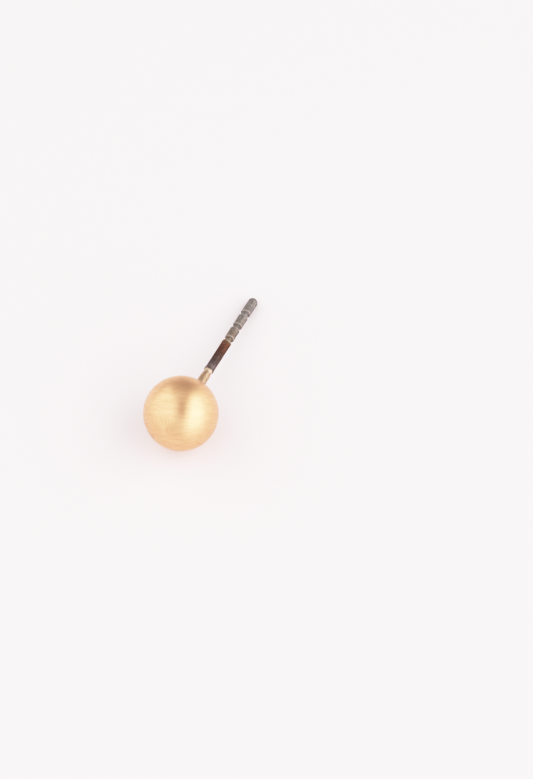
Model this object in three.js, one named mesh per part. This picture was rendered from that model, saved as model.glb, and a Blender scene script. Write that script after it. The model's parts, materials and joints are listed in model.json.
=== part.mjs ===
// A ball stud earring, in millimetres, lying on a table as it does when it is put down.
// The ball and its stem are one solid of gold plated metal. The steel ear post, with three
// rolled grooves, stands in the bored stem. The ball and the post's tip both touch the table,
// and the post points along +Y.
import * as THREE from "three";

// Ball
const BALL_DIAMETER = 6.0;

// Gold stem on the ball, measured from the ball's surface
const STEM_LENGTH = 2.28;
const STEM_DIAMETER = 0.76;
const STEM_FILLET = 0.14;
const STEM_WALL = 0.12; // from the stem's own diameter in to its bore

// Steel post beyond the stem
const POST_REACH = 11.0; // from the ball's surface to the post's tip
const POST_DIAMETER = 0.76; // up to the first groove
const SHOULDER_CHAMFER = 0.02;
const COLLAR_HEIGHT = 0.025; // how far the shoulder stands out from the post
const COLLAR_RUN = 0.35; // from the shoulder to the straight post
const TIP_FLAT = 0.26; // diameter of the flat that the rounding leaves on the tip

// Grooves that hold an ear clutch
const GROOVE_COUNT = 3;
const GROOVE_PITCH = 1.56;
const GROOVE_FROM_TIP = 1.97; // from the tip to the middle of the last groove
const GROOVE_MOUTH = 0.5;
const GROOVE_FLOOR = 0.34;
const GROOVE_DEPTH = 0.11;
const SEGMENT_SWELL = 0.007; // what rolling a groove adds to the radius from there to the tip
const RIDGE_HEIGHT = 0.01; // metal that rolling pushed up on each side of a groove
const RIDGE_RUN = 0.3;

// Root of the post, hidden in the stem and the ball
const ROOT_DEPTH = 1.4; // past the ball's surface
const SEAT_GAP = 0.03; // all round the root, and between the stem's end and the post's shoulder

// How finely the round forms are cut
const BALL_SIDES = 64;
const BALL_FRONT_ROWS = 17;
const BALL_BACK_ROWS = 12;
const POST_SIDES = 32;
const FILLET_ROWS = 4;
const TIP_ROWS = 5;

// Outline of the stem past its fillet: straight, then a waist, then a bead at its end.
// along is a share of the stem beyond the fillet, and radius a share of the stem's own.
const STEM_SECTIONS = [
  { along: 0.7, radius: 1.0 },
  { along: 0.82, radius: 0.88 },
  { along: 0.91, radius: 0.9 },
  { along: 0.97, radius: 1.09 },
  { along: 1.0, radius: 1.05 },
];

const ballRadius = BALL_DIAMETER / 2;
const stemRadius = STEM_DIAMETER / 2;
const postRadius = POST_DIAMETER / 2;
const tipRadius = postRadius + GROOVE_COUNT * SEGMENT_SWELL;
const tipRound = tipRadius - TIP_FLAT / 2;
const seatRadius = stemRadius - STEM_WALL;
const rootRadius = seatRadius - SEAT_GAP;
const stemEnd = ballRadius + STEM_LENGTH;
const postStart = stemEnd + SEAT_GAP;
const postTip = ballRadius + POST_REACH;
const rootEnd = ballRadius - ROOT_DEPTH;
const lyingSlope = slopeOnTable();

const gold = new THREE.MeshStandardMaterial({
  color: 0xe8b878,
  roughness: 0.42,
  metalness: 1.0,
});
const steel = new THREE.MeshStandardMaterial({
  color: 0x8d8078,
  roughness: 0.38,
  metalness: 1.0,
});

// The slope at which the ball and the rounded edge of the tip stand on one level.
function slopeOnTable() {
  const along = postTip - tipRound;
  const across = tipRadius - tipRound;
  const drop = ballRadius - tipRound;
  return Math.asin(drop / Math.hypot(along, across)) - Math.atan2(across, along);
}

// Points of an arc round (x, y), from one angle to another, both ends included.
function arc(x, y, radius, from, to, steps) {
  return Array.from({ length: steps + 1 }, (_, i) => {
    const angle = from + ((to - from) * i) / steps;
    return new THREE.Vector2(
      x + radius * Math.cos(angle),
      y + radius * Math.sin(angle),
    );
  });
}

// A solid turned about Y from a profile that starts and ends on the axis, with a flat side down.
function turned(name, profile, sides, material) {
  const geometry = new THREE.LatheGeometry(profile, sides, Math.PI / sides);
  const mesh = new THREE.Mesh(geometry, material);
  mesh.name = name;
  return mesh;
}

// The ball's profile, from its front pole to the fillet. One row of facets faces straight down
// when the stud lies on the table, so that it rests on a flat.
function sphereProfile(filletAngle) {
  const halfFacet = Math.PI / BALL_SIDES;
  const downFrom = lyingSlope - halfFacet;
  const downTo = lyingSlope + halfFacet;
  const front = arc(0, 0, ballRadius, -Math.PI / 2, downFrom, BALL_FRONT_ROWS);
  const back = arc(0, 0, ballRadius, downTo, filletAngle, BALL_BACK_ROWS);
  front[0].x = 0;
  return [...front, ...back];
}

// The ball with its stem, and the bore in the stem that the post's root stands in.
function ball() {
  const filletX = stemRadius + STEM_FILLET;
  const filletY = Math.sqrt((ballRadius + STEM_FILLET) ** 2 - filletX ** 2);
  const filletAngle = Math.atan2(filletY, filletX);
  const fillet = arc(
    filletX,
    filletY,
    STEM_FILLET,
    filletAngle - Math.PI,
    -Math.PI,
    FILLET_ROWS,
  );
  const stem = STEM_SECTIONS.map(
    ({ along, radius }) =>
      new THREE.Vector2(
        stemRadius * radius,
        filletY + (stemEnd - filletY) * along,
      ),
  );
  const bore = [
    new THREE.Vector2(seatRadius, stemEnd),
    new THREE.Vector2(seatRadius, rootEnd - SEAT_GAP),
    new THREE.Vector2(0, rootEnd - SEAT_GAP),
  ];
  const profile = [
    ...sphereProfile(filletAngle),
    ...fillet.slice(1),
    ...stem,
    ...bore,
  ];
  return turned("ball", profile, BALL_SIDES, gold);
}

// The groove at this place in the row, counted from the ball, and the ridge on each side of it.
function groove(index) {
  const y = postTip - GROOVE_FROM_TIP - (GROOVE_COUNT - 1 - index) * GROOVE_PITCH;
  const mouth = GROOVE_MOUTH / 2;
  const floor = GROOVE_FLOOR / 2;
  const before = postRadius + index * SEGMENT_SWELL;
  const after = before + SEGMENT_SWELL;
  return [
    new THREE.Vector2(before, y - mouth - RIDGE_RUN),
    new THREE.Vector2(before + RIDGE_HEIGHT, y - mouth),
    new THREE.Vector2(before - GROOVE_DEPTH, y - floor),
    new THREE.Vector2(before - GROOVE_DEPTH, y + floor),
    new THREE.Vector2(after + RIDGE_HEIGHT, y + mouth),
    new THREE.Vector2(after, y + mouth + RIDGE_RUN),
  ];
}

// The post, from its root in the ball, over the shoulder and the grooves, to the rounded tip.
function earPost() {
  const root = [
    new THREE.Vector2(0, rootEnd),
    new THREE.Vector2(rootRadius, rootEnd),
    new THREE.Vector2(rootRadius, postStart),
  ];
  const collarRadius = postRadius + COLLAR_HEIGHT;
  const shoulder = [
    new THREE.Vector2(collarRadius - SHOULDER_CHAMFER, postStart),
    new THREE.Vector2(collarRadius, postStart + SHOULDER_CHAMFER),
    new THREE.Vector2(postRadius, postStart + COLLAR_RUN),
  ];
  const grooves = Array.from({ length: GROOVE_COUNT }, (_, i) => groove(i));
  const tip = arc(
    TIP_FLAT / 2,
    postTip - tipRound,
    tipRound,
    0,
    Math.PI / 2,
    TIP_ROWS,
  );
  const tipCentre = new THREE.Vector2(0, postTip);
  const profile = [...root, ...shoulder, ...grooves.flat(), ...tip, tipCentre];
  return turned("ear_post", profile, POST_SIDES, steel);
}

const stud = new THREE.Group();
stud.add(ball(), earPost());
stud.rotation.x = -lyingSlope;

// The origin is on the table, under the middle of the stud's box.
const box = new THREE.Box3().setFromObject(stud, true);
const middle = box.getCenter(new THREE.Vector3());
stud.position.set(-middle.x, -middle.y, -box.min.z);

export default stud;
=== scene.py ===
"""A ball stud earring lying on a pale table: a brushed gold ball with its stem, and a steel post.

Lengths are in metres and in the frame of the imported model. Distances along the earring run on
the post's axis from the middle of the ball.
"""

import json
import math

import bpy
from bpy.props import FloatProperty, FloatVectorProperty, IntProperty, PointerProperty
from bpy.types import Operator, Panel, PropertyGroup
from mathutils import Matrix, Vector


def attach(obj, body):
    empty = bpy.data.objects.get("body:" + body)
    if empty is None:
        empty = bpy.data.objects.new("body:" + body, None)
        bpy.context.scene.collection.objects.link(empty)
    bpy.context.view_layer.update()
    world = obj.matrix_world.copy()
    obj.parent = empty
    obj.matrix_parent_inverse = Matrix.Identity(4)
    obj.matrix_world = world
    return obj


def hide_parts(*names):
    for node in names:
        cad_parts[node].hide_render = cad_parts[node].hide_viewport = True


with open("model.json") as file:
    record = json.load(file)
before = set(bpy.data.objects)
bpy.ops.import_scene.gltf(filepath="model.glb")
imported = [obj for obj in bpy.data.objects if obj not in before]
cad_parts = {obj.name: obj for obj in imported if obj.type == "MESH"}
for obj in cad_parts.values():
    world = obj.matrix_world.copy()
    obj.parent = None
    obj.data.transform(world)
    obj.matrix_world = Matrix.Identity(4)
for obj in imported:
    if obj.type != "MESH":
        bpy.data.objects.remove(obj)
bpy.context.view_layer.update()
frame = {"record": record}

bl_info = {
    "name": "Ball Stud Earring",
    "version": (1, 0, 0),
    "blender": (4, 5, 0),
    "location": "3D View > Sidebar > Earring",
    "description": "Models a brushed gold ball stud on a steel ear post, with a pale stage",
    "category": "Add Mesh",
}

MM = 0.001

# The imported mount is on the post's axis where it leaves the ball, and points to the tip
EAR_POST = frame["record"]["mounts"][0]
BALL_BACK = Vector(EAR_POST["pos_m"])
AXIS = Vector(EAR_POST["axis"]).normalized()
AXIS_TURN = Vector((0.0, 0.0, 1.0)).rotation_difference(AXIS).to_euler()

# The photograph's size, and the ball's middle and radius in it, in pixels
IMAGE_SIZE = (533, 779)
BALL_PIXEL = (180.9, 413.35)
BALL_RADIUS_PIXELS = 37.91

# A corner this near the cut through the ball counts as on it, in metres
ON_CUT = 1e-7
# A share of a row of faces that is rounding, and makes no row of its own
ROUNDING = 1e-9
# Edges that turn more than this are drawn sharp
SHARP_TURN = math.radians(38)
# Length of the rows of faces that don't show, down the bore and along the root
HIDDEN_ROW = 0.2 * MM


def length(name, description, default_mm):
    """A length property, with its default given in millimetres."""
    return FloatProperty(
        name=name,
        description=description,
        default=default_mm * MM,
        min=0.0,
        precision=5,
        subtype="DISTANCE",
        unit="LENGTH",
    )


def colour(name, description, default):
    """A linear colour property."""
    return FloatVectorProperty(
        name=name,
        description=description,
        default=default,
        size=3,
        min=0.0,
        max=1.0,
        subtype="COLOR",
    )


def angle(name, description, degrees):
    """An angle property, with its default given in degrees."""
    return FloatProperty(
        name=name,
        description=description,
        default=math.radians(degrees),
        subtype="ANGLE",
        unit="ROTATION",
    )


def share(name, description, default):
    """A number from 0 to 1."""
    return FloatProperty(
        name=name,
        description=description,
        default=default,
        min=0.0,
        max=1.0,
        subtype="FACTOR",
    )


class BallSettings(PropertyGroup):
    """Size, colours and brushing of the ball"""

    diameter: length("Diameter", "Diameter of the ball", 6.0)
    segments: IntProperty(
        name="Segments", description="Faces round the ball", default=160, min=16
    )
    rings: IntProperty(
        name="Rings", description="Rows of faces from pole to pole", default=100, min=8
    )
    waviness: length("Waviness", "Height of the slow waves that brushing left", 0.006)
    wave_size: length("Wave size", "Width of the slow waves", 1.6)
    gold: colour("Gold", "Colour of the plating", (0.85, 0.488, 0.27))
    deep_gold: colour("Deep gold", "Colour in the brush marks", (0.70, 0.383, 0.2))
    roughness: share("Roughness", "Roughness between the brush marks", 0.38)
    brushing: share("Brushing", "How far the brushing stretches highlights", 0.45)


class StemSettings(PropertyGroup):
    """Sizes and colours of the gold stem on the ball"""

    length: length("Length", "From the ball's surface to the stem's end", 2.28)
    diameter: length("Diameter", "Diameter of the straight stretch", 0.76)
    fillet: length("Fillet", "Radius of the solder at the foot", 0.14)
    wall: length("Wall", "From the straight stretch's surface in to the bore", 0.12)
    row: length("Row", "Length of a row of faces", 0.03)
    lumps: length("Lumps", "Height of the lumps in the plating", 0.03)
    lump_size: length("Lump size", "Width of the lumps in the plating", 0.16)
    gold: colour("Gold", "Colour of the plating on the stem", (0.53, 0.35, 0.22))
    bead: colour("Bead", "Paler plating on the bead at the end", (0.62, 0.47, 0.35))
    bead_width: length("Bead width", "Width of the paler plating", 0.48)
    stain: colour("Stain", "Heat stain round the stem's end", (0.15, 0.105, 0.085))
    stain_width: length("Stain width", "Width of the heat stain", 0.15)


class PostSettings(PropertyGroup):
    """Sizes and finish of the steel post and its grooves"""

    reach: length(
        "Reach", "From the ball's surface to the tip", EAR_POST["dims"]["length_mm"]
    )
    diameter: length("Diameter", "Diameter of the wire", 2 * EAR_POST["dims"]["r_mm"])
    chamfer: length("Chamfer", "Chamfer of the shoulder", 0.02)
    collar_height: length("Collar height", "How far the shoulder stands out", 0.025)
    collar_run: length("Collar run", "From the shoulder to the straight wire", 0.35)
    tip_flat: length("Tip flat", "Diameter of the flat on the tip", 0.08)
    groove_pitch: length("Groove pitch", "From one groove to the next", 1.56)
    groove_from_tip: length("Groove from tip", "From the tip to the last groove", 1.97)
    groove_mouth: length("Groove mouth", "Width of a groove at the surface", 0.5)
    groove_floor: length("Groove floor", "Width of a groove at its floor", 0.34)
    groove_depth: length("Groove depth", "Depth of a groove", 0.11)
    swell: length("Swell", "What each groove adds to the radius past it", 0.007)
    ridge_height: length("Ridge height", "Height of the ridge beside a groove", 0.01)
    ridge_run: length("Ridge run", "Length of the ridge beside a groove", 0.3)
    root_depth: length("Root depth", "Depth of the root in the ball", 1.4)
    seat_gap: length("Seat gap", "Clearance round the root", 0.03)
    row: length("Row", "Length of a row of faces", 0.05)
    fine_row: length("Fine row", "Length of a row of faces at a groove", 0.014)
    grooves: IntProperty(name="Grooves", description="Number of grooves", default=3, min=1)
    sides: IntProperty(name="Sides", description="Faces round the wire", default=72, min=8)
    unevenness: length("Unevenness", "Height of the wire's unevenness", 0.008)
    uneven_size: length("Uneven size", "Width of the wire's unevenness", 0.35)
    steel: colour("Steel", "Colour of the bare steel", (0.255, 0.22, 0.2))
    roughness: share("Roughness", "Roughness of the drawn steel", 0.64)


class StageSettings(PropertyGroup):
    """Where the camera stands, and the floor and the room's light"""

    camera_azimuth: angle("Camera azimuth", "Turn of the camera's sight from +Y", 25.0)
    camera_elevation: angle("Camera elevation", "How steeply it looks down", 57.61)
    camera_distance: length("Camera distance", "From the camera to the ball", 500.0)
    floor_size: length("Floor size", "Width of the floor", 3000.0)
    floor_cuts: IntProperty(
        name="Floor cuts", description="Cuts across the floor each way", default=8, min=1
    )
    floor: colour("Floor", "Colour of the floor", (0.865, 0.775, 0.796))
    room: colour("Room", "Colour of the room's light", (1.0, 0.97, 0.97))
    room_brightness: FloatProperty(
        name="Room brightness", description="Brightness of the room", default=0.43, min=0.0
    )


def ball_radius():
    return bpy.context.scene.earring_ball.diameter / 2


def along(distance):
    """The point on the post's axis at this distance from the middle of the ball."""
    return BALL_BACK + AXIS * (distance - ball_radius())


def smooth_step(low, high, value):
    """0 up to low and 1 from high, with an even curve between them."""
    t = min(max((value - low) / (high - low), 0.0), 1.0)
    return t * t * (3.0 - 2.0 * t)


def evenly(start, end, step):
    """Distances from start to end, both included, no further apart than step."""
    count = max(1, math.ceil((end - start) / step - ROUNDING))
    return [start + (end - start) * i / count for i in range(count + 1)]


def start_piece(name):
    """Names the primitive that was just added, sets it in the frame and opens it for editing."""
    piece = bpy.context.object
    piece.name = name
    piece.data.name = name
    bpy.ops.object.transform_apply(location=True, rotation=True, scale=True)
    bpy.ops.object.mode_set(mode="EDIT")
    bpy.ops.mesh.select_all(action="SELECT")
    return piece


def draw_out(stations):
    """Extrudes the selected ring along the axis, through stations of (distance, radius)."""
    for (start, old), (end, new) in zip(stations, stations[1:]):
        step = AXIS * (end - start)
        bpy.ops.mesh.extrude_region_move(TRANSFORM_OT_translate={"value": step})
        scale = new / old
        bpy.ops.transform.resize(value=(scale,) * 3, center_override=along(end))


def close_piece():
    """Leaves edit mode with all faces pointing out and smooth, apart from sharp corners."""
    bpy.ops.mesh.select_all(action="SELECT")
    bpy.ops.mesh.normals_make_consistent(inside=False)
    bpy.ops.object.mode_set(mode="OBJECT")
    bpy.ops.object.shade_smooth_by_angle(angle=SHARP_TURN)


def make_uneven(piece, name, height, size, group=""):
    """Moves the surface in and out by height in all, in soft lumps of about this size."""
    texture = bpy.data.textures.new(name, "CLOUDS")
    texture.noise_scale = size
    texture.noise_depth = 2
    modifier = piece.modifiers.new(name, "DISPLACE")
    modifier.texture = texture
    modifier.texture_coords = "LOCAL"
    modifier.strength = height
    modifier.mid_level = 0.5
    modifier.vertex_group = group
    bpy.ops.object.modifier_apply(modifier=name)


def group_by_distance(piece, name, low, high):
    """A vertex group that fades in from low to high along the axis."""
    group = piece.vertex_groups.new(name=name)
    origin = along(0.0)
    for vertex in piece.data.vertices:
        weight = smooth_step(low, high, (vertex.co - origin).dot(AXIS))
        group.add([vertex.index], weight, "REPLACE")
    return group.name


# Outline of the stem past its fillet: straight, then a waist, then a bead at its end.
# Each row is a share of the stem beyond the fillet and a share of the stem's own radius.
STEM_SECTIONS = (
    (0.00, 1.00),
    (0.70, 1.00),
    (0.82, 0.88),
    (0.91, 0.90),
    (0.97, 1.09),
    (1.00, 1.05),
)

# Rows of faces in the stem's fillet and in the rounding of the post's tip
FILLET_ROWS = 8
TIP_ROWS = 10

# The stem's end edge is rounded off by this much, and its middle lies at this share of it
# from the corner. The middle of the shoulder's chamfer lies at these shares of it, along the
# post and in from its surface.
RIM_EASE = 0.02 * MM
RIM_MIDDLE = 0.3
SHOULDER_MIDDLE = (0.3, 0.35)

# The lumps in the plating grow to their height over this length from the foot of the stem
LUMPS_START = 0.3 * MM


def stem_radius(reach):
    """Radius of the stem at a share of its length beyond the fillet."""
    settings = bpy.context.scene.earring_stem
    for (low, narrow), (high, wide) in zip(STEM_SECTIONS, STEM_SECTIONS[1:]):
        if reach <= high:
            blend = smooth_step(low, high, reach)
            return settings.diameter / 2 * (narrow + (wide - narrow) * blend)
    return settings.diameter / 2 * STEM_SECTIONS[-1][1]


def stem_end():
    return ball_radius() + bpy.context.scene.earring_stem.length


def bore_radius():
    settings = bpy.context.scene.earring_stem
    return settings.diameter / 2 - settings.wall


class EARRING_OT_gold_ball(Operator):
    """Adds the ball with its stem, bored from the stem's end"""

    bl_idname = "earring.gold_ball"
    bl_label = "Gold Ball"

    def execute(self, context):
        ball = context.scene.earring_ball
        stem = context.scene.earring_stem
        post = context.scene.earring_post
        radius = ball_radius()
        fillet_radius = stem.diameter / 2 + stem.fillet
        foot = math.sqrt((radius + stem.fillet) ** 2 - fillet_radius**2)
        cut_angle = math.atan2(fillet_radius, foot)

        bpy.ops.object.select_all(action="DESELECT")
        bpy.ops.mesh.primitive_uv_sphere_add(
            segments=ball.segments,
            ring_count=ball.rings,
            radius=radius,
            location=along(0.0),
            rotation=AXIS_TURN,
        )
        piece = start_piece("gold_ball")
        bpy.ops.mesh.bisect(
            plane_co=along(radius * math.cos(cut_angle)),
            plane_no=AXIS,
            clear_outer=True,
            threshold=ON_CUT,
        )
        draw_out(self.fillet_stations(radius, stem, foot, fillet_radius, cut_angle))
        draw_out(self.stem_stations(stem, foot))
        draw_out(self.bore_stations(post))
        bpy.ops.mesh.edge_face_add()
        close_piece()
        make_uneven(piece, "brushing_waves", ball.waviness, ball.wave_size)
        stem_group = group_by_distance(piece, "stem", foot, foot + LUMPS_START)
        make_uneven(piece, "plating_lumps", stem.lumps, stem.lump_size, stem_group)
        piece.data.materials.append(brushed_gold())
        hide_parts("ball")
        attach(piece, "root")
        return {"FINISHED"}

    def fillet_stations(self, radius, stem, foot, fillet_radius, cut_angle):
        """The hollow curve from the ball's surface to the straight stem."""
        stations = [(radius * math.cos(cut_angle), radius * math.sin(cut_angle))]
        for i in range(1, FILLET_ROWS + 1):
            turn = cut_angle + (math.pi / 2 - cut_angle) * i / FILLET_ROWS
            distance = foot - stem.fillet * math.cos(turn)
            stations.append((distance, fillet_radius - stem.fillet * math.sin(turn)))
        return stations

    def stem_stations(self, stem, foot):
        """The stem's outline, with its end edge eased."""
        end = stem_end()
        distances = evenly(foot, end - RIM_EASE, stem.row)
        stations = [(d, stem_radius((d - foot) / (end - foot))) for d in distances]
        rim = stations[-1][1]
        stations.append((end - RIM_EASE * RIM_MIDDLE, rim - RIM_EASE * RIM_MIDDLE))
        stations.append((end, rim - RIM_EASE))
        return stations

    def bore_stations(self, post):
        """From the stem's end rim in to the bore, and down it."""
        rim = stem_radius(1.0) - RIM_EASE
        bottom = ball_radius() - post.root_depth - post.seat_gap
        stations = [(stem_end(), rim), (stem_end(), bore_radius())]
        for distance in reversed(evenly(bottom, stem_end(), HIDDEN_ROW)[:-1]):
            stations.append((distance, bore_radius()))
        return stations


def groove_middles():
    """Distances of the grooves' middles, from the ball outwards."""
    post = bpy.context.scene.earring_post
    last = ball_radius() + post.reach - post.groove_from_tip
    return [last - i * post.groove_pitch for i in reversed(range(post.grooves))]


def wire_radius(distance):
    """Radius of the wire past its shoulder, with its collar, and its grooves and their ridges."""
    post = bpy.context.scene.earring_post
    from_shoulder = distance - stem_end() - post.seat_gap
    collar = 1.0 - smooth_step(0.0, post.collar_run, from_shoulder)
    radius = post.diameter / 2 + post.collar_height * collar
    mouth = post.groove_mouth / 2
    for middle in groove_middles():
        offset = abs(distance - middle)
        swell = post.swell if distance > middle else 0.0
        if offset < mouth:
            rise = smooth_step(post.groove_floor / 2, mouth, offset)
            rim = post.ridge_height + swell
            radius += (post.groove_depth + rim) * rise - post.groove_depth
        else:
            fall = smooth_step(mouth, mouth + post.ridge_run, offset)
            radius += post.ridge_height * (1.0 - fall) + swell
    return radius


class EARRING_OT_steel_post(Operator):
    """Adds the grooved steel post, with its root in the bored stem"""

    bl_idname = "earring.steel_post"
    bl_label = "Steel Post"

    def execute(self, context):
        post = context.scene.earring_post
        root_radius = bore_radius() - post.seat_gap
        root_end = ball_radius() - post.root_depth
        bpy.ops.object.select_all(action="DESELECT")
        bpy.ops.mesh.primitive_circle_add(
            vertices=post.sides,
            radius=root_radius,
            fill_type="NGON",
            location=along(root_end),
            rotation=AXIS_TURN,
        )
        piece = start_piece("steel_post")
        shoulder = stem_end() + post.seat_gap
        rim = post.diameter / 2 + post.collar_height
        root = [(d, root_radius) for d in evenly(root_end, shoulder, HIDDEN_ROW)]
        forward, inward = SHOULDER_MIDDLE
        chamfer = [
            (shoulder, rim - post.chamfer),
            (shoulder + forward * post.chamfer, rim - inward * post.chamfer),
            (shoulder + post.chamfer, rim),
        ]
        draw_out(root + chamfer + self.shaft_stations(post) + self.tip_stations(post))
        close_piece()
        make_uneven(piece, "drawn_wire", post.unevenness, post.uneven_size)
        piece.data.materials.append(tinted_steel())
        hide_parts("ear_post")
        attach(piece, "root")
        return {"FINISHED"}

    def shaft_stations(self, post):
        """The straight wire and its grooves, in finer rows at each groove."""
        distance = stem_end() + post.seat_gap + post.chamfer
        end = ball_radius() + post.reach - self.tip_round(post)
        near = post.groove_mouth / 2 + post.row
        stations = []
        while distance < end - post.fine_row:
            at_groove = any(abs(distance - g) < near for g in groove_middles())
            distance += post.fine_row if at_groove else post.row
            stations.append((distance, wire_radius(distance)))
        return stations

    def tip_stations(self, post):
        """The rounding of the tip."""
        rounding = self.tip_round(post)
        tip = ball_radius() + post.reach
        turns = [math.pi / 2 * i / TIP_ROWS for i in range(1, TIP_ROWS + 1)]
        return [
            (
                tip - rounding * (1.0 - math.sin(turn)),
                post.tip_flat / 2 + rounding * math.cos(turn),
            )
            for turn in turns
        ]

    def tip_round(self, post):
        return post.diameter / 2 + post.grooves * post.swell - post.tip_flat / 2


# Which inputs and output the Mix node uses, by the kind of value that it mixes
MIX_SOCKETS = {"FLOAT": (2, 3, 0), "VECTOR": (4, 5, 1), "RGBA": (6, 7, 2)}


class Finish:
    """A material being wired, with short calls for the nodes that the finishes share."""

    def __init__(self, name):
        self.material = bpy.data.materials.new(name)
        self.material.use_nodes = True
        self.tree = self.material.node_tree
        self.tree.nodes.clear()

    def add(self, kind, inputs, **settings):
        """Adds a node. An input is a value, or the output that feeds it."""
        node = self.tree.nodes.new(kind)
        for name, value in settings.items():
            setattr(node, name, value)
        for name, value in inputs.items():
            if isinstance(value, bpy.types.NodeSocket):
                self.tree.links.new(value, node.inputs[name])
            else:
                node.inputs[name].default_value = value
        return node

    def places(self, turn):
        """Places in millimetres from the ball's middle, turned to a frame of their own."""
        coordinates = self.add("ShaderNodeTexCoord", {})
        inputs = {
            "Vector": coordinates.outputs["Object"],
            "Location": along(0.0),
            "Rotation": turn,
            "Scale": (MM, MM, MM),
        }
        mapping = self.add("ShaderNodeMapping", inputs, vector_type="TEXTURE")
        return mapping.outputs["Vector"]

    def vector_math(self, operation, first, second):
        inputs = {0: first, 1: second}
        node = self.add("ShaderNodeVectorMath", inputs, operation=operation)
        return node.outputs["Vector"]

    def stretch(self, vector, scale):
        return self.vector_math("MULTIPLY", vector, scale)

    def far_from(self, vector, point):
        """Distance from a point."""
        inputs = {0: vector, 1: point}
        node = self.add("ShaderNodeVectorMath", inputs, operation="DISTANCE")
        return node.outputs["Value"]

    def round_axis(self, vector):
        """A vector of the turn round the Z axis, in radians, 0, and the place along it."""
        axes = self.add("ShaderNodeSeparateXYZ", {"Vector": vector})
        turns = self.math("ARCTAN2", axes.outputs["Y"], axes.outputs["X"])
        inputs = {"X": turns, "Z": axes.outputs["Z"]}
        return self.add("ShaderNodeCombineXYZ", inputs).outputs["Vector"]

    def noise(self, vector, scale, detail=3.0, roughness=0.55):
        inputs = {
            "Vector": self.stretch(vector, scale),
            "Scale": 1.0,
            "Detail": detail,
            "Roughness": roughness,
        }
        return self.add("ShaderNodeTexNoise", inputs).outputs["Fac"]

    def noise_vector(self, vector, scale):
        """A soft random vector, from -0.5 to 0.5 each way."""
        inputs = {"Vector": vector, "Scale": scale, "Detail": 1.0}
        noise = self.add("ShaderNodeTexNoise", inputs)
        return self.vector_math("SUBTRACT", noise.outputs["Color"], (0.5, 0.5, 0.5))

    def math(self, operation, first, second=0.0):
        inputs = {0: first, 1: second}
        node = self.add("ShaderNodeMath", inputs, operation=operation)
        return node.outputs["Value"]

    def between(self, value, low, high, start=0.0, end=1.0):
        """Maps low..high to start..end, smoothly, and holds it there."""
        inputs = {0: value, 1: low, 2: high, 3: start, 4: end}
        node = self.add(
            "ShaderNodeMapRange", inputs, interpolation_type="SMOOTHSTEP", clamp=True
        )
        return node.outputs["Result"]

    def mixed(self, kind, amount, first, second):
        """Mixes two values of this kind."""
        first_input, second_input, output = MIX_SOCKETS[kind]
        inputs = {0: amount, first_input: first, second_input: second}
        return self.add("ShaderNodeMix", inputs, data_type=kind).outputs[output]

    def blend(self, amount, first, second):
        """Mixes two numbers."""
        return self.mixed("FLOAT", amount, first, second)

    def blend_vector(self, amount, first, second):
        """Mixes two vectors."""
        return self.mixed("VECTOR", amount, first, second)

    def mix(self, amount, first, second):
        """Mixes two colours."""
        return self.mixed("RGBA", amount, first, second)

    def scale_colour(self, rgb, factor):
        """A colour made lighter or darker by a number."""
        inputs = {0: rgb, "Scale": factor}
        node = self.add("ShaderNodeVectorMath", inputs, operation="SCALE")
        return node.outputs["Vector"]

    def along_ramp(self, value, stops):
        """A colour that follows stops of (value, colour)."""
        low, high = stops[0][0], stops[-1][0]
        inputs = {0: value, 1: low, 2: high}
        share_of_ramp = self.add("ShaderNodeMapRange", inputs).outputs["Result"]
        ramp = self.add("ShaderNodeValToRGB", {"Fac": share_of_ramp})
        elements = ramp.color_ramp.elements
        while len(elements) < len(stops):
            elements.new(1.0)
        for element, (position, rgb) in zip(elements, stops):
            element.position = (position - low) / (high - low)
            element.color = opaque(rgb)
        return ramp.outputs["Color"]

    def bump(self, height, distance, normal=None):
        inputs = {"Height": height, "Distance": distance, "Strength": 1.0}
        if normal is not None:
            inputs["Normal"] = normal
        return self.add("ShaderNodeBump", inputs).outputs["Normal"]

    def metal(self, base, roughness, normal):
        """A metal surface, wired to the material's output."""
        inputs = {
            "Base Color": base,
            "Metallic": 1.0,
            "Roughness": roughness,
            "Normal": normal,
        }
        shader = self.add("ShaderNodeBsdfPrincipled", inputs)
        surface = {"Surface": shader.outputs["BSDF"]}
        self.add("ShaderNodeOutputMaterial", surface)
        return shader


def opaque(rgb):
    return (*rgb, 1.0)


def shade(rgb, factor):
    """A colour made lighter or darker, up to white."""
    return tuple(min(channel * factor, 1.0) for channel in rgb)


def turned_point(turn, point):
    """A point given in the model's directions, in those of a turned frame."""
    return tuple(turn.to_matrix().transposed() @ point)


# The ball was brushed round this axis, so its brush marks are circles round it. It was rubbed
# the other way, too, on a patch in this direction, out to these two distances in millimetres
# from its middle: fully up to the first, and then less and less.
BRUSH_AXIS = Vector((-0.35, 0.77, 0.54)).normalized()
BRUSH_TURN = BRUSH_AXIS.to_track_quat("Z", "X").to_euler()
CROSS_RUBBED = Vector((-0.17, -0.83, 0.53)).normalized()
CROSS_RUBBED_MM = (0.5, 1.3)

# Marks in a millimetre along X, Y and Z, where Z is the brush's axis, so the marks are long
# round it and narrow along it. Those that cross them are counted in a radian round it, and
# in a millimetre along it.
FINE_MARKS = (1.3, 1.3, 16.0)
COARSE_MARKS = (0.5, 0.5, 4.2)
CROSS_MARKS = (27.0, 0.0, 1.2)

# What the coarse marks and the crossing ones count for, beside the fine ones
COARSE_SHARE = 0.5
CROSS_SHARE = 1.36

# How far the marks wander along the axis, in millimetres, and how often in a millimetre
MARK_SWAY = (0.0, 0.0, 0.3)
SWAYS = 0.8

# The patch of crossing marks is broken up by a random pattern, with so many lumps in a
# millimetre, which lets them through from the first value up to the second
PATCH_LUMPS = (0.9, 0.9, 0.9)
PATCH_BROKEN = (0.25, 0.45)

# Strength of the marks where they are darkest and brightest, and roughest and smoothest
MARK_TONES = (0.5, 1.0)
MARK_SPREAD = (0.45, 1.05)

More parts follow.
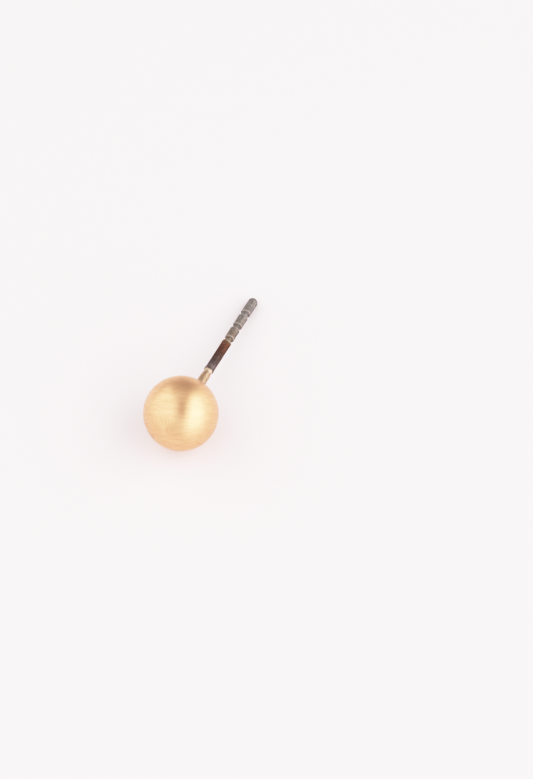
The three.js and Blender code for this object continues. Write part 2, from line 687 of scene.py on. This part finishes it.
# What the roughest add to the ball's roughness, and the smoothest take off
ROUGHEST_ADD = 0.06
SMOOTHEST_TAKE = 0.04

MARK_DEPTH = 0.0034 * MM


def brush_marks(finish, places):
    """Short marks that wander a little from their circles, with others across one patch."""
    sway = finish.stretch(finish.noise_vector(places, SWAYS), MARK_SWAY)
    swayed = finish.vector_math("ADD", places, sway)
    fine = finish.noise(swayed, FINE_MARKS, detail=4.0, roughness=0.62)
    coarse = finish.noise(swayed, COARSE_MARKS, detail=3.0)
    round_brush = finish.math("ADD", finish.math("MULTIPLY", coarse, COARSE_SHARE), fine)

    across = finish.noise(finish.round_axis(places), CROSS_MARKS, detail=2.0)
    middle = turned_point(BRUSH_TURN, CROSS_RUBBED * (ball_radius() / MM))
    patch = finish.between(finish.far_from(places, middle), *CROSS_RUBBED_MM, 1.0, 0.0)
    lumps = finish.noise(places, PATCH_LUMPS, detail=2.0)
    crossed = finish.math("MULTIPLY", patch, finish.between(lumps, *PATCH_BROKEN))
    return finish.blend(crossed, round_brush, finish.math("MULTIPLY", across, CROSS_SHARE))


# The stem isn't brushed. Its own finish fades in between these distances from the ball's
# surface, in millimetres.
STEM_ROUGHNESS = 0.42
STEM_FADE_MM = (0.05, 0.3)

# Grains of the stem's plating in a millimetre each way. It is darkest, by this factor, up to
# the first value of the grain, and clean from the second.
PLATING_GRAINS = (6.0, 9.0, 4.0)
PITTED = (0.38, 0.55)
PIT_SHADE = 0.55
GRAIN_HEIGHT = 0.03 * MM

# The paler plating fades in from this far before the bead to as far past its start, in
# millimetres, and covers this much
BEAD_FADE_MM = 0.1
BEAD_COVER = 0.8

# The stain fades in between these distances from its start, in millimetres, and the grain
# moves its edge by up to the last
STAIN_FADE_MM = (0.03, 0.09)
STAIN_RAGGED_MM = 0.1


def stem_plating(finish, stem, from_middle, grain):
    """The stem's colours: pitted gold, paler on the bead, and stained at its end."""
    pits = finish.between(grain, *PITTED)
    base = finish.mix(pits, opaque(shade(stem.gold, PIT_SHADE)), opaque(stem.gold))

    bead = (stem_end() - stem.bead_width) / MM
    paler = finish.between(
        from_middle, bead - BEAD_FADE_MM, bead + BEAD_FADE_MM, 0.0, BEAD_COVER
    )
    base = finish.mix(paler, base, opaque(stem.bead))

    stain = (stem_end() - stem.stain_width) / MM
    low, high = STAIN_FADE_MM
    ragged = finish.math("MULTIPLY", grain, STAIN_RAGGED_MM)
    ragged = finish.math("ADD", from_middle, ragged)
    stained = finish.between(ragged, stain + low, stain + high)
    return finish.mix(stained, base, opaque(stem.stain))


def brushed_gold():
    """Gold plate: brushed on the ball, rougher and paler on the stem, stained at its end."""
    ball = bpy.context.scene.earring_ball
    stem = bpy.context.scene.earring_stem
    finish = Finish("brushed_gold")
    places = finish.places(BRUSH_TURN)

    marks = brush_marks(finish, places)
    tone = finish.between(marks, *MARK_TONES)
    ball_base = finish.mix(tone, opaque(ball.deep_gold), opaque(ball.gold))
    rough = ball.roughness + ROUGHEST_ADD
    smooth = ball.roughness - SMOOTHEST_TAKE
    ball_spread = finish.between(marks, *MARK_SPREAD, rough, smooth)
    brushed = finish.bump(marks, MARK_DEPTH)

    # The stem starts where the ball's round ends
    low, high = STEM_FADE_MM
    radius_mm = ball_radius() / MM
    from_middle = finish.far_from(places, (0.0, 0.0, 0.0))
    on_stem = finish.between(from_middle, radius_mm + low, radius_mm + high)
    grain = finish.noise(places, PLATING_GRAINS, detail=4.0, roughness=0.65)
    plating = stem_plating(finish, stem, from_middle, grain)

    base = finish.mix(on_stem, ball_base, plating)
    spread = finish.blend(on_stem, ball_spread, STEM_ROUGHNESS)
    grain_on_stem = finish.math("MULTIPLY", grain, on_stem)
    shader = finish.metal(base, spread, finish.bump(grain_on_stem, GRAIN_HEIGHT, brushed))
    tangent = finish.blend_vector(on_stem, tuple(BRUSH_AXIS), tuple(AXIS))
    shader.inputs["Anisotropic"].default_value = ball.brushing
    finish.tree.links.new(tangent, shader.inputs["Tangent"])
    return finish.material


# Colours along the post, by the distance in millimetres from its shoulder: a painted highlight
# where the shoulder catches the light, heat tints from purple over brown to straw, and then bare
# steel
GLINT_AND_HEAT_TINTS = (
    # The first two stops are the painted highlight on the shoulder
    (0.05, (0.194, 0.146, 0.140)),
    (0.24, (0.178, 0.132, 0.127)),
    (0.44, (0.130, 0.090, 0.092)),
    (0.89, (0.108, 0.070, 0.062)),
    (1.44, (0.105, 0.059, 0.047)),
    (2.14, (0.135, 0.056, 0.040)),
    (2.74, (0.152, 0.061, 0.037)),
    (3.19, (0.178, 0.091, 0.048)),
    (3.41, (0.280, 0.200, 0.130)),
    (3.99, (0.240, 0.182, 0.142)),
    (5.19, (0.238, 0.200, 0.176)),
    (6.79, (0.270, 0.236, 0.220)),
)

# Random patterns on the steel, with so many lumps in a millimetre, twice across the post and
# once along it: what moves the tints, streaks from drawing, flecks of scale, and pale chips
TINT_LUMPS = (2.4, 2.4, 1.4)
DRAWN_STREAKS = (22.0, 22.0, 1.1)
SCALE_FLECKS = (7.5, 7.5, 5.5)
PALE_CHIPS = (11.0, 11.0, 8.0)

# What the patterns do: from a low and a high value of each, to these two. The tints move by
# millimetres, streaks and flecks make the steel darker or lighter, and chips cover it.
TINT_SWAY = (0.2, 0.8, -0.25, 0.25)
STREAK_LIGHT = (0.35, 0.65, 0.82, 1.12)
FLECK_LIGHT = (0.36, 0.62, 0.68, 1.2)
CHIP_COVER = (0.63, 0.7, 0.0, 0.7)
CHIP_SHADE = 1.2

# Streaks from the roughest to the smoothest, and what they add to the roughness or take off
STREAK_SPREAD = (0.3, 0.7)
STREAK_ROUGHNESS = 0.06

# Height of the streaks, and what the flecks count for beside them
STREAK_HEIGHT = 0.006 * MM
FLECK_SHARE = 1.4

# Bands round the grooves: how far from its middle a band is full and gone, in millimetres, how
# much it covers, and how light it is beside the bare steel. The ridges get a painted highlight,
# this far past the groove's mouth, and the corners of its floor get painted shade.
PAINTED_RIDGE_HIGHLIGHT = (0.02, 0.09, 0.7, 1.7)
RIDGE_FROM_MOUTH_MM = 0.02
PAINTED_CORNER_SHADE = (0.0, 0.08, 0.5, 0.45)

# Oxide keeps the steel dark where it turns away
EDGE_TINT = (0.52, 0.48, 0.48)


def groove_bands(finish, post, distance, base):
    """Paints a highlight on the ridges beside the grooves, and shade in the corners of their
    floors.
    """
    pitch = post.groove_pitch / MM
    from_first = finish.math("SUBTRACT", distance, groove_middles()[0] / MM)
    turns = finish.math("DIVIDE", from_first, pitch)
    nearest = finish.math("SUBTRACT", turns, finish.math("ROUND", turns))
    offset = finish.math("MULTIPLY", finish.math("ABSOLUTE", nearest), pitch)
    grooved = finish.math(
        "MULTIPLY",
        finish.math("GREATER_THAN", turns, -0.5),
        finish.math("LESS_THAN", turns, post.grooves - 0.5),
    )
    ridge = post.groove_mouth / 2 / MM + RIDGE_FROM_MOUTH_MM
    corner = post.groove_floor / 2 / MM
    # A painted highlight on each ridge, and painted shade in the corners of each floor
    for middle, band in ((ridge, PAINTED_RIDGE_HIGHLIGHT), (corner, PAINTED_CORNER_SHADE)):
        full, gone, cover, light = band
        away = finish.math("ABSOLUTE", finish.math("SUBTRACT", offset, middle))
        amount = finish.between(away, full, gone, cover, 0.0)
        amount = finish.math("MULTIPLY", amount, grooved)
        base = finish.mix(amount, base, opaque(shade(post.steel, light)))
    return base


def tinted_steel():
    """Drawn steel: a painted highlight at the shoulder, heat tinted next to the stem, and grey
    beyond, with painted highlights and shade at the grooves.
    """
    post = bpy.context.scene.earring_post
    finish = Finish("tinted_steel")
    places = finish.places(AXIS_TURN)
    axes = finish.add("ShaderNodeSeparateXYZ", {"Vector": places})
    distance = axes.outputs["Z"]

    shoulder = (stem_end() + post.seat_gap) / MM
    from_shoulder = finish.math("SUBTRACT", distance, shoulder)
    sway = finish.between(finish.noise(places, TINT_LUMPS), *TINT_SWAY)
    # The ramp starts with the painted highlight on the shoulder, then the heat tints
    base = finish.along_ramp(finish.math("ADD", from_shoulder, sway), GLINT_AND_HEAT_TINTS)

    drawn = finish.noise(places, DRAWN_STREAKS)
    scale = finish.noise(places, SCALE_FLECKS, detail=4.0, roughness=0.7)
    streaks = finish.between(drawn, *STREAK_LIGHT)
    flecks = finish.between(scale, *FLECK_LIGHT)
    base = finish.scale_colour(base, finish.math("MULTIPLY", streaks, flecks))
    chipped = finish.between(finish.noise(places, PALE_CHIPS, detail=2.0), *CHIP_COVER)
    base = finish.mix(chipped, base, opaque(shade(post.steel, CHIP_SHADE)))
    base = groove_bands(finish, post, distance, base)

    rough = post.roughness + STREAK_ROUGHNESS
    smooth = post.roughness - STREAK_ROUGHNESS
    spread = finish.between(drawn, *STREAK_SPREAD, rough, smooth)
    height = finish.math("ADD", drawn, finish.math("MULTIPLY", scale, FLECK_SHARE))
    shader = finish.metal(base, spread, finish.bump(height, STREAK_HEIGHT))
    shader.inputs["Specular Tint"].default_value = opaque(EDGE_TINT)
    return finish.material


def camera_turn(stage):
    """The camera's rotation: its right, its up, and back along its sight."""
    yaw = Matrix.Rotation(stage.camera_azimuth, 3, "Z")
    pitch = Matrix.Rotation(math.pi / 2 - stage.camera_elevation, 3, "X")
    return yaw @ pitch


def place_camera(stage):
    """Looks at the ball from the photograph's angle, with the ball at its place in the frame."""
    turn = camera_turn(stage)
    right, up, backward = turn.transposed()
    half_angle = math.asin(ball_radius() / stage.camera_distance)
    focal = BALL_RADIUS_PIXELS / math.tan(half_angle)
    across = (BALL_PIXEL[0] - IMAGE_SIZE[0] / 2) / focal
    down = (BALL_PIXEL[1] - IMAGE_SIZE[1] / 2) / focal
    sight = (right * across - up * down - backward).normalized()

    data = bpy.data.cameras.new("camera")
    data.sensor_width = 36.0
    data.lens = focal * data.sensor_width / IMAGE_SIZE[1]
    data.clip_start = 0.01
    data.clip_end = 10.0
    camera = bpy.data.objects.new("camera", data)
    bpy.context.scene.collection.objects.link(camera)
    place = along(0.0) - sight * stage.camera_distance
    camera.matrix_world = Matrix.Translation(place) @ turn.to_4x4()
    bpy.context.scene.camera = camera


# Soft light panels, by where they stand seen from the ball: name, degrees to the right of the
# camera and above it, distance in metres, width and height in degrees, and brightness
LIGHT_PANELS = (
    ("left_tent", -76.0, 7.0, 0.46, 118.0, 58.0, 1.7),
    ("left_lamp", -29.0, 11.0, 0.44, 50.0, 32.0, 1.8),
    ("left_upper", -21.0, 54.0, 0.45, 54.0, 32.0, 0.8),
    ("back_tent", -110.0, 62.0, 0.47, 60.0, 50.0, 0.16),
    ("right_tent", 88.0, 1.0, 0.47, 100.0, 60.0, 1.65),
    ("right_lamp", 50.0, -4.0, 0.45, 108.0, 36.0, 2.4),
    ("right_middle", 32.0, -3.0, 0.44, 78.0, 30.0, 1.7),
    ("front_board", -12.0, -30.0, 0.46, 66.0, 44.0, 1.05),
)


def add_panel(turn, name, right, above, distance, width, height, brightness):
    """Adds a panel that faces the ball."""
    side = math.radians(right)
    lift = math.radians(above)
    level = math.cos(lift)
    outwards = Vector((math.sin(side) * level, math.sin(lift), math.cos(side) * level))
    data = bpy.data.lights.new(name, "AREA")
    data.shape = "RECTANGLE"
    data.size = 2 * distance * math.tan(math.radians(width / 2))
    data.size_y = 2 * distance * math.tan(math.radians(height / 2))
    # The power goes with the area, so that a larger panel is as bright
    data.energy = brightness * math.pi * data.size * data.size_y
    light = bpy.data.objects.new(name, data)
    light.location = along(0.0) + turn @ outwards * distance
    light.rotation_mode = "QUATERNION"
    light.rotation_quaternion = turn.to_quaternion() @ outwards.to_track_quat("Z", "Y")
    light.visible_camera = False
    bpy.context.scene.collection.objects.link(light)


# The view has a curve for red, green and blue, and then this one, for all three alike
ALL_COLOURS_CURVE = 3

# The picture's tones: light in the scene, up to the brightest that the curve covers, and how
# light it is shown. Highlights roll off.
BRIGHTEST = 4.0
TONES = (
    (0.3, 0.3),
    (0.57, 0.56),
    (0.8, 0.72),
    (1.15, 0.865),
    (1.5, 0.938),
    (1.85, 0.968),
    (2.3, 0.988),
    (3.0, 0.997),
)


def set_tone_curve(view):
    """Shows highlights with a soft roll-off, and the rest as it is."""
    view.view_transform = "Standard"
    view.use_curve_mapping = True
    mapping = view.curve_mapping
    mapping.white_level = (BRIGHTEST,) * 3
    points = mapping.curves[ALL_COLOURS_CURVE].points
    for light, shown in TONES:
        points.new(light / BRIGHTEST, shown)
    mapping.update()


# The floor's coating: how many grains there are in a metre each way, how light the darkest
# are, and how rough it is and how strongly it bends light
FLOOR_GRAINS = (900.0, 900.0, 900.0)
GRAIN_SHADE = 0.985
FLOOR_ROUGHNESS = 0.45
FLOOR_IOR = 1.4


def pale_floor(rgb):
    """A pale board with the faint grain of its coating."""
    finish = Finish("pale_floor")
    coordinates = finish.add("ShaderNodeTexCoord", {})
    grain = finish.noise(coordinates.outputs["Object"], FLOOR_GRAINS)
    inputs = {
        "Base Color": finish.mix(grain, opaque(shade(rgb, GRAIN_SHADE)), opaque(rgb)),
        "Roughness": FLOOR_ROUGHNESS,
        "IOR": FLOOR_IOR,
    }
    shader = finish.add("ShaderNodeBsdfPrincipled", inputs)
    finish.add("ShaderNodeOutputMaterial", {"Surface": shader.outputs["BSDF"]})
    return finish.material


class EARRING_OT_stage(Operator):
    """Adds the pale floor, the soft lights and the camera"""

    bl_idname = "earring.stage"
    bl_label = "Stage"

    def execute(self, context):
        stage = context.scene.earring_stage
        bpy.ops.object.select_all(action="DESELECT")
        level = along(0.0).z - ball_radius()
        bpy.ops.mesh.primitive_plane_add(
            size=stage.floor_size, location=(0.0, 0.0, level)
        )
        floor = start_piece("table_top")
        bpy.ops.mesh.subdivide(number_cuts=stage.floor_cuts)
        bpy.ops.object.mode_set(mode="OBJECT")
        floor.data.materials.append(pale_floor(stage.floor))

        for panel in LIGHT_PANELS:
            add_panel(camera_turn(stage), *panel)
        world = bpy.data.worlds.new("room")
        world.use_nodes = True
        background = world.node_tree.nodes["Background"]
        background.inputs["Color"].default_value = opaque(stage.room)
        background.inputs["Strength"].default_value = stage.room_brightness
        context.scene.world = world
        set_tone_curve(context.scene.view_settings)
        place_camera(stage)
        return {"FINISHED"}


class EARRING_PT_sizes(Panel):
    """Lists the earring's sizes and colours"""

    bl_idname = "EARRING_PT_sizes"
    bl_label = "Ball Stud Earring"
    bl_space_type = "VIEW_3D"
    bl_region_type = "UI"
    bl_category = "Earring"

    def draw(self, context):
        for title, operator, names in SECTIONS:
            box = self.layout.box()
            box.label(text=title)
            for name in names:
                settings = getattr(context.scene, name)
                for key in settings.bl_rna.properties.keys():
                    if key not in ("rna_type", "name"):
                        box.prop(settings, key)
            box.operator(operator)


SECTIONS = (
    ("Ball and stem", "earring.gold_ball", ("earring_ball", "earring_stem")),
    ("Post", "earring.steel_post", ("earring_post",)),
    ("Stage", "earring.stage", ("earring_stage",)),
)
SETTINGS = {
    "earring_ball": BallSettings,
    "earring_stem": StemSettings,
    "earring_post": PostSettings,
    "earring_stage": StageSettings,
}
CLASSES = (
    *SETTINGS.values(),
    EARRING_OT_gold_ball,
    EARRING_OT_steel_post,
    EARRING_OT_stage,
    EARRING_PT_sizes,
)


def register():
    for cls in CLASSES:
        bpy.utils.register_class(cls)
    for name, cls in SETTINGS.items():
        setattr(bpy.types.Scene, name, PointerProperty(type=cls))


def unregister():
    for name in SETTINGS:
        delattr(bpy.types.Scene, name)
    for cls in reversed(CLASSES):
        bpy.utils.unregister_class(cls)


def main():
    register()
    bpy.ops.earring.stage()
    bpy.ops.earring.gold_ball()
    bpy.ops.earring.steel_post()


if __name__ == "__main__":
    main()
